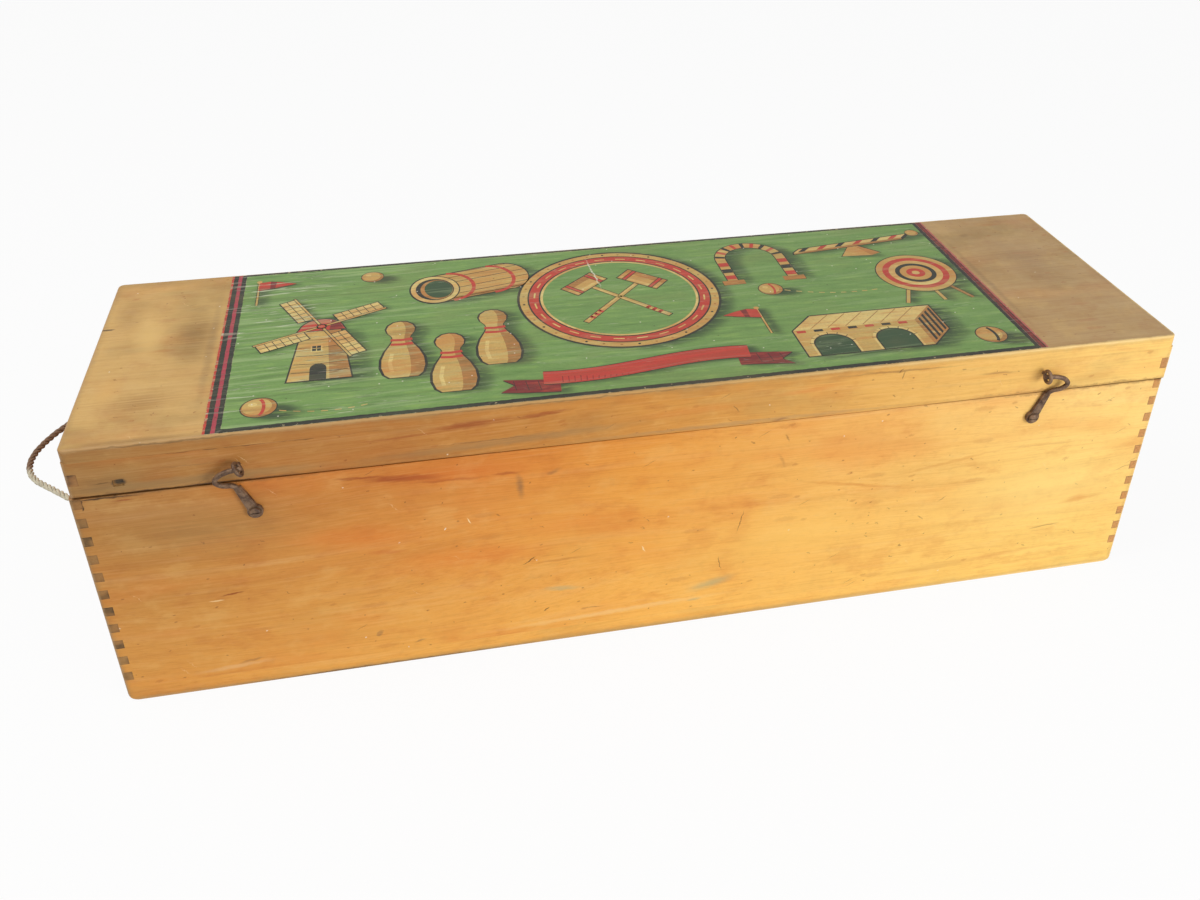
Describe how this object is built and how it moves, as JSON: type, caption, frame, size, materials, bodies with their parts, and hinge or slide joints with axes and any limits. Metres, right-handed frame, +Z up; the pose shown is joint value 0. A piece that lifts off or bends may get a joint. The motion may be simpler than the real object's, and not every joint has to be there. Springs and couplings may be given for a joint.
{
  "type": "obstacle ball game box",
  "caption": "Long finger-jointed wooden box with a hinged lid, hook latches and a rope handle, holding a ball game with wooden obstacles.",
  "frame": {"origin": "middle of the bottom board's underside, on the floor", "axes": "+X along the box's length to the right, +Y to the back where the hinges are, +Z up"},
  "size_m": [0.8842, 0.2598, 0.2301],
  "materials": {
    "case_pine": "aged varnished pine, satin, scratched",
    "lid_pine": "aged varnished pine, duller and greyer",
    "label_paper": "matt printed paper, creased",
    "rope": "twisted natural fibre, dirty",
    "rusty_iron": "dark rusty iron",
    "hinge_iron": "dark iron, light rust",
    "game_wood": "plain sanded wood",
    "red_paint": "worn red paint on wood",
    "blue_paint": "worn blue paint on wood",
    "yellow_paint": "worn yellow paint on wood",
    "green_paint": "worn green paint on wood"
  },
  "bodies": {
    "case": {"front_panel": "case_pine", "back_panel": "case_pine", "left_end_panel": "case_pine", "right_end_panel": "case_pine", "bottom_board": "case_pine", "bottom_nails": "hinge_iron", "hinge_screws_case": "hinge_iron", "rope_handle": "rope", "rope_knot_front": "rope", "rope_knot_back": "rope", "hinge_leaf_case_left": "hinge_iron", "hinge_leaf_case_right": "hinge_iron", "hinge_pin_left": "hinge_iron", "hinge_pin_right": "hinge_iron", "hook_pivot_screw_left": "rusty_iron", "hook_pivot_screw_right": "rusty_iron", "house_front_wall": "game_wood", "house_back_wall": "game_wood", "house_roof_left": "red_paint", "house_roof_right": "red_paint", "bridge_front_board": "game_wood", "bridge_back_board": "game_wood", "bridge_deck": "green_paint", "castle_wall": "game_wood", "castle_feet": "game_wood", "ramp_sides": "yellow_paint", "ramp_deck": "green_paint", "gate_posts": "game_wood", "gate_lintel": "red_paint", "gate_feet": "game_wood", "tunnel_end_boards": "game_wood", "tunnel_staves": "blue_paint", "ball_red": "red_paint", "ball_blue": "blue_paint", "ball_yellow": "yellow_paint", "ball_green": "green_paint", "stick_1": "game_wood", "stick_2": "game_wood"},
    "lid": {"lid_top_board": "lid_pine", "lid_front_rail": "lid_pine", "lid_back_rail": "lid_pine", "lid_left_rail": "lid_pine", "lid_right_rail": "lid_pine", "lid_label": "label_paper", "hinge_screws_lid": "hinge_iron", "hinge_leaf_lid_left": "hinge_iron", "hinge_leaf_lid_right": "hinge_iron", "screw_eye_left": "rusty_iron", "screw_eye_right": "rusty_iron"},
    "hook_left": {"hook_left": "rusty_iron"},
    "hook_right": {"hook_right": "rusty_iron"}
  },
  "joints": [
    {"name": "lid_hinge", "type": "hinge", "parent": "case", "child": "lid", "pos_m": [0, 0.1236, 0.1903], "axis": [-1, 0, 0], "range_deg": [0, 180]},
    {"name": "hook_left_swing", "type": "hinge", "parent": "case", "child": "hook_left", "pos_m": [-0.294, -0.1225, 0.165], "axis": [0, -1, 0], "range_deg": [0, 300]},
    {"name": "hook_right_swing", "type": "hinge", "parent": "case", "child": "hook_right", "pos_m": [0.299, -0.1225, 0.1682], "axis": [0, 1, 0], "range_deg": [0, 300]}
  ]
}
